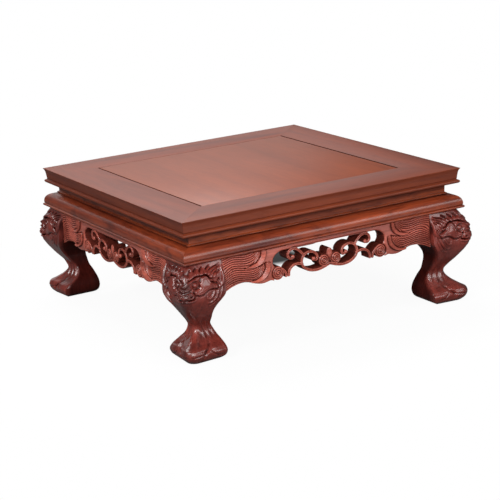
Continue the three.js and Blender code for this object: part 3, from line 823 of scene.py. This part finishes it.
def leg_level(z):
    """Corner, radius, edge and inner insets at each height: cubic spans whose end slopes are
    the chords between the neighbouring levels."""
    heights = LEG_LEVELS[:, 0]
    last = len(heights) - 1
    i = np.clip(np.searchsorted(heights, z), 1, last)
    low, high = LEG_LEVELS[i - 1], LEG_LEVELS[i]
    before, after = LEG_LEVELS[np.maximum(i - 2, 0)], LEG_LEVELS[np.minimum(i + 1, last)]
    span = high[:, :1] - low[:, :1]
    slope_low = span * (high - before) / (high[:, :1] - before[:, :1])
    slope_high = span * (after - low) / (after[:, :1] - low[:, :1])
    return cubic_span((z[:, None] - low[:, :1]) / span, low, high, slope_low, slope_high)[:, 1:].T


def mounds(x, z, table):
    """The sum of smooth mounds, each a bell curve of a height, a middle and a reach."""
    return sum(
        height * np.exp(-(((x - x0) / reach) ** 2) - ((z - z0) / rise) ** 2)
        for height, x0, z0, reach, rise in table
    )


def ridge(x, z, path, half_width, height, taper):
    """A raised round line that thins and sinks towards its ends."""
    distance, share = nearest(x, z, through(path, 6))
    width = half_width * (1 - 0.6 * taper * (2 * share - 1) ** 2)
    top = height * (1 - taper * (1 - smooth_step(share, 0, 0.4) * smooth_step(1 - share, 0, 0.4)))
    return top * round_top(distance, width, 1)


def fold(x, z, path, reach, height):
    """A soft raised line: its height is a bell curve of the distance, and dies away at its ends."""
    distance, share = nearest(x, z, through(path, 6))
    fade = smooth_step(share, 0, 0.3) * smooth_step(1 - share, 0, 0.3)
    return height * fade * np.exp(-((distance / reach) ** 2))


def cut(x, z, path, half_width, depth):
    """A V-shaped cut along a line, shallower towards both ends."""
    distance, share = nearest(x, z, through(path, 6))
    fade = np.clip(4 * share, 0, 1) * np.clip(4 * (1 - share), 0, 1)
    return depth * fade * np.clip(1 - distance / half_width, 0, 1)


# The mask, drawn as inset from the top's edge and height, the same on both faces of the leg
STAR = [[15.4, 81.4], [17, 80.4], [18.2, 78], [19.8, 75.8], [22.8, 73.6], [26.8, 71.8],
        [26.6, 70.2], [22, 71], [18, 70.9], [14.6, 69.4], [11.4, 67.4], [8, 66.4], [4.4, 67],
        [3.6, 68.6], [6.2, 69.2], [8.8, 71], [10.4, 73.6], [11.2, 77], [12.8, 80.2]]
STAR_WING = [[17.4, 80.6], [19, 78.8], [21.4, 77.4], [24, 76.8]]
EYE, EYE_RADIUS = (4.6, 74.8), 2.3
UPPER_LID = [[-3.4, 75.4], [-0.6, 77.9], [2, 79.1], [4.8, 79.4], [7.8, 78.4], [9.4, 76.5],
             [9.9, 74]]
LOWER_LID = [[0.2, 73.4], [1.4, 71.2], [4, 70], [6.6, 70.8], [8.2, 72.8]]
BROW_LINE = [[-4, 75.8], [-1.6, 78.4], [1, 80], [4.7, 81.3], [10.1, 82.4], [15.4, 82.8],
             [18.2, 81.6], [20.2, 79.4], [22.9, 78], [27, 77.6]]
BROW_BEADS = [(1.2, 81.6), (4.8, 83.2), (8.6, 84.2), (12.8, 84.4), (16.8, 84.2),
              (19.8, 82.8), (22.6, 80.8), (26.2, 80.2)]
BEAD_RADIUS = 1.9
HAIR_CUTS = (
    [[19.4, 85.4], [24, 86.9], [30.4, 88.2], [34, 89.6]],
    [[22.4, 83.6], [27, 85.2], [31, 86.4], [35, 88.4]],
    [[25.2, 82.4], [29.4, 83.8], [32.6, 86]],
    [[28.6, 81.6], [31.4, 83.2], [33.4, 85]],
)
EAR = [[36, 87.4], [35, 82.4], [34.4, 78], [33.9, 75], [32.4, 72.2], [29.2, 70.2]]
EAR_STROKES = ([[26.4, 75.4], [28.8, 73]], [[27.6, 76.8], [30.2, 74.4]], [[29, 78], [31.4, 76]])
LOCK_CUTS = ([[-1.6, 82.6], [0.6, 85.2], [3.4, 88]], [[4.4, 84.8], [7, 87.2], [9.6, 89.4]],
             [[10.4, 85.6], [13, 88], [16, 90]], [[16.8, 86], [20, 88], [24, 89.6]])
MANE_LOCKS = (
    [[33.4, 70.6], [31.6, 66], [29.4, 61.4], [26.2, 57.4], [22.4, 54.4], [19.2, 53.2]],
    [[28.8, 69.2], [27.4, 65.4], [25.4, 61.6], [22.4, 58.4], [19.2, 56.8], [16.6, 57.4]],
    [[24.2, 69], [23, 66], [21, 63.2], [18.2, 61.4], [15.8, 61.8], [15.6, 63.6]],
)
MUZZLE = (
    [[-4.8, 67.4], [-2, 68.5], [0.8, 68], [2.9, 66]],
    [[-4.6, 70.2], [-2.6, 71.8], [-0.6, 73.2]],
    [[-4.6, 73], [-3.2, 75], [-2, 76.6]],
)
NOSTRIL, NOSTRIL_RADIUS = (-0.8, 65.6), 1.7
MOUTH = [[-4.8, 63.2], [-1, 62.9], [2.4, 63.4], [5.4, 65]]
LIP = [[-3.4, 61.2], [0.4, 61.2], [4, 62]]
WHISKER_PAD = (0.4, 70.2)
# The eyeball and the pad rise as domes, the nostril as a rim round a hole. The star stands
# up within its outline, with a groove outside it, and each bead of the brow is a short lobe.
EYE_RISE, PAD_RISE, PAD_RADIUS = 2.4, 1.2, 1.4
NOSTRIL_RISE, NOSTRIL_WALL, NOSTRIL_HOLE, NOSTRIL_DEPTH = 1.1, 0.9, 1.1, 0.8
STAR_RISE, STAR_EASE, STAR_GROOVE, STAR_GROOVE_WIDTH = 1.1, 1.6, 1.7, 0.8
BEAD_RISE, BEAD_TAPER = 1.6, 0.2

# Mounds and hollows: height, then the middle and the reach, each along the face and up it
MASK_MOUNDS = (
    (2.6, -4.8, 65, 4.6, 3.8),  # snout
    (1.0, -4.8, 76, 5, 6),  # bridge of the nose
    (1.4, 17, 73, 6.4, 5),  # cheek
    (0.6, -3, 57.5, 5, 2.4),  # chin
    (1.0, 15, 84.4, 12, 2.4),  # brow
    (-1.6, 4.6, 74.6, 4.2, 4),  # socket of the eye
    (-1.0, 24.5, 75.4, 2.8, 1.6),  # hollow over the cheek
)
# Raised lines: half width, height and how much they taper
MASK_RIDGES = (
    (STAR_WING, 1.0, 1.3, 0.35),
    (UPPER_LID, 1.0, 1.3, 0.35),
    (LOWER_LID, 0.9, 1.0, 0.35),
    (EAR, 1.9, 2.4, 0.5),
    *((lock, 1.3, 1.3, 0.6) for lock in MANE_LOCKS),
    *((wrinkle, 0.9, 1.2, 0.35) for wrinkle in MUZZLE),
    (LIP, 1.0, 1.4, 0.35),
)
# Cut lines: half width and depth
MASK_CUTS = (
    (BROW_LINE, 1.2, 1.9),
    *((line, 1.5, 1.7) for line in LOCK_CUTS),
    *((line, 1.0, 1.7) for line in HAIR_CUTS),
    *((line, 0.8, 1.4) for line in EAR_STROKES),
    (MOUTH, 1.1, 1.8),
)


def mask_relief(x, z):
    """How far the beast mask stands out, as mounds, domes, raised lines and cuts. The drawing
    is moved along the face, away from the corner line, and lowered a little."""
    x = x - 2.0 * smooth_step(x, -4.8, 3) + 1.2 * smooth_step(x, 14, 34)
    z = z + 1.1 + 1.1 * smooth_step(x, 4, 13)
    relief = mounds(x, z, MASK_MOUNDS)
    star = np.array(STAR)
    rim, _ = nearest(x, z, np.vstack([star, star[:1]]))
    within = inside(x, z, star)
    raised = STAR_RISE * smooth_step(np.where(within, rim, 0), 0, STAR_EASE)
    relief += raised + round_top(rim, 1.0, 1)
    groove = np.exp(-(((rim - STAR_GROOVE) / STAR_GROOVE_WIDTH) ** 2))
    relief -= STAR_RISE * np.where(within, 0, groove)
    relief += EYE_RISE * round_top(np.hypot(x - EYE[0], z - EYE[1]), EYE_RADIUS, 0.6)
    for x0, z0 in BROW_BEADS:
        lobe = [[x0 - 1.0, z0 - 0.5], [x0, z0], [x0 + 1.0, z0 + 1.0]]
        relief += ridge(x, z, lobe, BEAD_RADIUS, BEAD_RISE, BEAD_TAPER)
    for path, *measures in MASK_RIDGES:
        relief += ridge(x, z, path, *measures)
    for path, *measures in MASK_CUTS:
        relief -= cut(x, z, path, *measures)
    nostril = np.hypot(x - NOSTRIL[0], z - NOSTRIL[1])
    wall = NOSTRIL_RISE * round_top(nostril - NOSTRIL_RADIUS, NOSTRIL_WALL)
    relief += wall - NOSTRIL_DEPTH * round_top(nostril, NOSTRIL_HOLE)
    pad = np.hypot(x - WHISKER_PAD[0], z - WHISKER_PAD[1])
    return relief + PAD_RISE * round_top(pad, PAD_RADIUS)


# The paw: tendons over the ankle, toes, and the claws' lines near the floor
PAW_MOUNDS = (
    (1.2, 5, 9, 8, 4.2),  # middle toe
    (1.4, 27, 9.4, 6.4, 4.6),  # side toe
)
TENDONS = (
    [[15.8, 38], [17, 31], [18.8, 25], [19.6, 16]],
    [[21.6, 38], [22.6, 31], [24, 25], [26, 16]],
    [[27, 37], [28.4, 29], [31, 17]],
)
CLEFT = [[22, 18], [20.6, 15], [17.6, 12.4], [14.6, 10.2], [12.4, 7.6], [11.6, 4]]
CLAW_LINES = (
    [[14.6, 9.6], [10, 8.2], [4, 7.4], [-2, 7.4]],
    [[18.6, 11.6], [22, 7.6], [27, 5], [33, 4.4]],
)
KNUCKLES, KNUCKLE_RISE, KNUCKLE_REACH = 12.8, 0.9, 1.5
# The cuts' half width and depth, and the tendons' reach and height
CLEFT_CUT, CLAW_CUT, TENDON_FOLD = (2.2, 2.2), (1.1, 0.9), (1.7, 1.6)


def paw_relief(x, z):
    """How far the toes and tendons stand out."""
    relief = mounds(x, z, PAW_MOUNDS)
    relief += KNUCKLE_RISE * np.exp(-(((z - KNUCKLES) / KNUCKLE_REACH) ** 2))
    relief -= cut(x, z, CLEFT, *CLEFT_CUT)
    for path in TENDONS:
        relief += fold(x, z, path, *TENDON_FOLD)
    for path in CLAW_LINES:
        relief -= cut(x, z, path, *CLAW_CUT)
    return relief


def cabriole_leg():
    """Rows are heights and columns run round the leg: down one outer face to the corner line,
    out along the other, and back over the two flat inner faces. On an outer face the distance
    from the corner line first follows the corner's arc and then the face, which leans evenly
    to its inner edge. The relief is added along the face's normal, and dies away at the edges."""
    z = np.linspace(0, SHOULDER, LEG_ROWS)
    corner, radius, edge, inner = leg_level(z)
    face = corner - radius * (1 - math.sqrt(0.5))
    centre = face + radius
    arc_length = radius * math.pi / 4
    share = np.linspace(0, 1, LEG_COLUMNS)[None]
    length = share * (arc_length + inner - centre)[:, None]
    arc_length, radius, face, centre, edge, inner = (
        v[:, None] for v in (arc_length, radius, face, centre, edge, inner)
    )
    angle = np.minimum(length / radius, math.pi / 4) - math.pi / 4
    run = np.clip((length - arc_length) / (inner - centre), 0, 1)
    along = centre + radius * np.sin(angle) + (inner - centre) * run
    across = centre - radius * np.cos(angle) + (edge - face) * run
    heights = np.broadcast_to(z[:, None], along.shape)
    fade = np.clip((inner - along) / INNER_FADE, 0, 1)
    fade = fade * np.clip((SHOULDER - heights) / SHOULDER_FADE, 0, 1)
    fade = fade * smooth_step(heights, 0, FLOOR_FADE)
    upper = smooth_step(heights, PAW_TOP, MASK_FOOT)
    relief = mask_relief(along, heights) * upper + paw_relief(along, heights) * (1 - upper)
    relief = relief * fade
    # Painted shade where the relief lies below its blurred self.
    depth = blurred(relief, LEG_BLUR) - relief
    painted_dark = np.clip((depth - LEG_SHADE_START) / LEG_SHADE_RISE, 0, 1)
    along = along + np.sin(angle) * relief
    across = across - np.cos(angle) * relief

    back = np.linspace(0, 1, INNER_COLUMNS)[None, 1:]
    side = across[:, -1:] + (inner - across[:, -1:]) * back
    flat = np.broadcast_to(inner, side.shape)
    ring_x = np.hstack([across[:, ::-1], along[:, 1:], flat, side[:, -2:0:-1]])
    ring_y = np.hstack([along[:, ::-1], across[:, 1:], side, flat[:, -2:0:-1]])
    # The flat inner faces and the post are painted in deep shade.
    hidden = np.full(side.shape, HIDDEN_PAINTED_SHADE)
    painted_dark = np.hstack([painted_dark[:, ::-1], painted_dark[:, 1:], hidden, hidden[:, -2:0:-1]])
    ring_z = np.broadcast_to(z[:, None], ring_x.shape)
    points = np.stack([ring_x - HALF, ring_y - HALF, ring_z], -1).reshape(-1, 3)
    columns = ring_x.shape[1]
    quads = outward(points, ring_quads(LEG_ROWS, columns))
    caps = end_caps(quads, LEG_ROWS, columns)
    near, far = POST_NEAR - HALF, POST_FAR - HALF
    post, post_quads = box_solid((near, near, SHOULDER - 1), (far, far, POST_TOP))
    post_quads = outward(post, post_quads) + len(points)
    painted_dark = np.concatenate([painted_dark.ravel(), np.full(len(post), HIDDEN_PAINTED_SHADE)])
    return np.vstack([points, post]), np.vstack([quads, post_quads]), caps, painted_dark


leg_points, leg_quads, leg_caps, leg_painted_dark = cabriole_leg()
for turn, corner in enumerate(CORNERS):
    add_piece(f"leg_{corner}_carving", f"leg_{corner}", leg_lacquer, leg_points,
              leg_quads, leg_caps, along="z", hollow=leg_painted_dark, turn=turn,
              sharp=CARVED_LEG_SHARP)


# Floor, light and camera. The lamps and the camera are placed in metres.

# A soft oval of shade on the floor between the back legs, seen through the pierced front: the
# middle, the two half lengths, the share of them that is darkest, and the tone there
SHADE_PLACE, SHADE_REACH = (88.0, 104.0), (46.0, 36.0)
SHADE_CORE, SHADE_TONE = 0.45, 0.05
FLOOR_REACH, FLOOR_DROP = 6.0, 0.0004
FLOOR_GLOW_NEAR, FLOOR_GLOW_FAR = 0.17, 0.38  # distances over which the floor turns pure white
FLOOR_DIFFUSE_SHARE, FLOOR_TONE, FLOOR_CAMERA_TONE = 0.06, 0.15, 0.9
WORLD_LIGHT = 0.11


def camera_ray(tree):
    """One for a ray that comes from the camera, and nothing for any other."""
    return tree.nodes.new("ShaderNodeLightPath").outputs["Is Camera Ray"]


def ranged_length(tree, vector, lengths, values, easing="LINEAR"):
    """The length of a vector, with two lengths turned into two values and eased between."""
    length = tree.nodes.new("ShaderNodeVectorMath")
    length.operation = "LENGTH"
    ranged = tree.nodes.new("ShaderNodeMapRange")
    ranged.interpolation_type = easing
    sockets = ("From Min", "From Max", "To Min", "To Max")
    for socket, value in zip(sockets, (*lengths, *values)):
        ranged.inputs[socket].default_value = value
    tree.links.new(vector, length.inputs[0])
    tree.links.new(length.outputs["Value"], ranged.inputs["Value"])
    return ranged.outputs["Result"]


def white_to_camera(name):
    """White to the camera, with a share of plain diffuse white that keeps the shadow under the
    stand and dies away between a near and a far distance from the stand's axis. To every other
    ray it is plain diffuse grey. Both are darker in the oval of shade. From below it is clear."""
    material = bpy.data.materials.new(name)
    material.use_nodes = True
    tree = material.node_tree
    nodes, links = tree.nodes, tree.links
    nodes.remove(nodes["Principled BSDF"])
    place = nodes.new("ShaderNodeTexCoord").outputs["Object"]
    oval = nodes.new("ShaderNodeMapping")
    for axis, (middle, half_length) in enumerate(zip(SHADE_PLACE, SHADE_REACH)):
        oval.inputs["Location"].default_value[axis] = -middle / half_length
        oval.inputs["Scale"].default_value[axis] = 1 / (half_length * MM)
    oval.inputs["Scale"].default_value[2] = 0
    links.new(place, oval.inputs["Vector"])
    lit = ranged_length(tree, oval.outputs["Vector"], (SHADE_CORE, 1.0), (SHADE_TONE, 1.0),
                        "SMOOTHSTEP")
    glow_share = ranged_length(tree, place, (FLOOR_GLOW_NEAR, FLOOR_GLOW_FAR),
                               (1 - FLOOR_DIFFUSE_SHARE, 1.0))
    seen = camera_ray(tree)
    grey = math_node(tree, "MULTIPLY_ADD", seen, FLOOR_CAMERA_TONE - FLOOR_TONE, FLOOR_TONE)
    share = math_node(tree, "MULTIPLY", seen, math_node(tree, "MULTIPLY", glow_share, lit))

    diffuse = nodes.new("ShaderNodeBsdfDiffuse")
    glow = nodes.new("ShaderNodeEmission")
    clear = nodes.new("ShaderNodeBsdfTransparent")
    above, both_sides = nodes.new("ShaderNodeMixShader"), nodes.new("ShaderNodeMixShader")
    below = nodes.new("ShaderNodeNewGeometry").outputs["Backfacing"]
    links.new(math_node(tree, "MULTIPLY", grey, lit), diffuse.inputs["Color"])
    for mix, share_of_second, first, second in (
        (above, share, diffuse, glow), (both_sides, below, above, clear)
    ):
        links.new(share_of_second, mix.inputs[0])
        links.new(first.outputs[0], mix.inputs[1])
        links.new(second.outputs[0], mix.inputs[2])
    links.new(both_sides.outputs["Shader"], nodes["Material Output"].inputs["Surface"])
    return material


def add_floor():
    """A square of floor under the stand, just below its feet."""
    mesh = bpy.data.meshes.new("studio_floor")
    corners = [(x * FLOOR_REACH, y * FLOOR_REACH, -FLOOR_DROP)
               for x, y in ((-1, -1), (1, -1), (1, 1), (-1, 1))]
    mesh.from_pydata(corners, [], [(0, 1, 2, 3)])
    mesh.materials.append(white_to_camera("studio_floor"))
    floor = bpy.data.objects.new("studio_floor", mesh)
    bpy.context.scene.collection.objects.link(floor)


def add_world():
    """A pale room: white to the camera, softer as a light."""
    world = bpy.data.worlds.new("studio")
    bpy.context.scene.world = world
    world.use_nodes = True
    tree = world.node_tree
    background = tree.nodes["Background"]
    background.inputs["Color"].default_value = (1, 1, 1, 1)
    level = math_node(tree, "MULTIPLY_ADD", camera_ray(tree), 1 - WORLD_LIGHT, WORLD_LIGHT)
    tree.links.new(level, background.inputs["Strength"])


def add_softbox(name, place, target, size, power):
    """A rectangular lamp at a place, turned to a target."""
    lamp = bpy.data.lights.new(name, "AREA")
    lamp.shape = "RECTANGLE"
    lamp.size, lamp.size_y = size
    lamp.energy = power
    softbox = bpy.data.objects.new(name, lamp)
    softbox.location = place
    away = Vector(target) - Vector(place)
    softbox.rotation_mode = "QUATERNION"
    softbox.rotation_quaternion = away.to_track_quat("-Z", "Y")
    bpy.context.scene.collection.objects.link(softbox)
    return softbox


def add_camera():
    """The photograph's viewpoint: a long lens, front left and a little above, with the camera
    turned a few degrees about its own axis."""
    azimuth, elevation, roll = math.radians(-29.357), math.radians(15.357), math.radians(-3.53)
    target = Vector((-0.04105, -0.0739, 0.06943))
    distance, focal_pixels, image_pixels = 1.5686, 1666.4, 500
    back = Vector(
        (
            math.sin(azimuth) * math.cos(elevation),
            -math.cos(azimuth) * math.cos(elevation),
            math.sin(elevation),
        )
    )
    level_right = back.cross(Vector((0, 0, 1))).normalized() * -1
    level_up = back.cross(level_right)
    right = level_right * math.cos(roll) + level_up * math.sin(roll)
    up = level_up * math.cos(roll) - level_right * math.sin(roll)
    data = bpy.data.cameras.new("photo_camera")
    data.sensor_width = 36.0
    data.lens = focal_pixels * data.sensor_width / image_pixels
    data.clip_start, data.clip_end = 0.05, 50
    camera = bpy.data.objects.new("photo_camera", data)
    turned = Matrix((right, up, back)).transposed().to_4x4()
    camera.matrix_world = Matrix.Translation(target + back * distance) @ turned
    bpy.context.scene.collection.objects.link(camera)
    bpy.context.scene.camera = camera


add_floor()
add_world()
add_softbox("key_softbox", (0.42, -1.68, 0.78), (0, 0, 0.07), (2.0, 0.55), 13.5)
add_softbox("near_softbox", (-0.6, -0.95, 0.55), (-0.1, -0.1, 0.07), (0.55, 0.45), 5.3)
add_softbox("top_softbox", (0.1, 0.9, 1.5), (0, 0, 0.1), (1.0, 0.8), 20)
add_softbox("back_softbox", (0.45, 2.2, 0.9), (0, 0, 0.13), (2.2, 1.3), 5.9)
add_softbox("left_softbox", (-1.4, -0.5, 1.1), (0, 0, 0.07), (0.5, 0.5), 15)
card = add_softbox("floor_card", (0.08, -0.44, 0.001), (0.08, -0.44, 1), (0.46, 0.16), 0.35)
card.visible_camera = False
add_camera()

scene = bpy.context.scene
scene.view_settings.view_transform = "Standard"
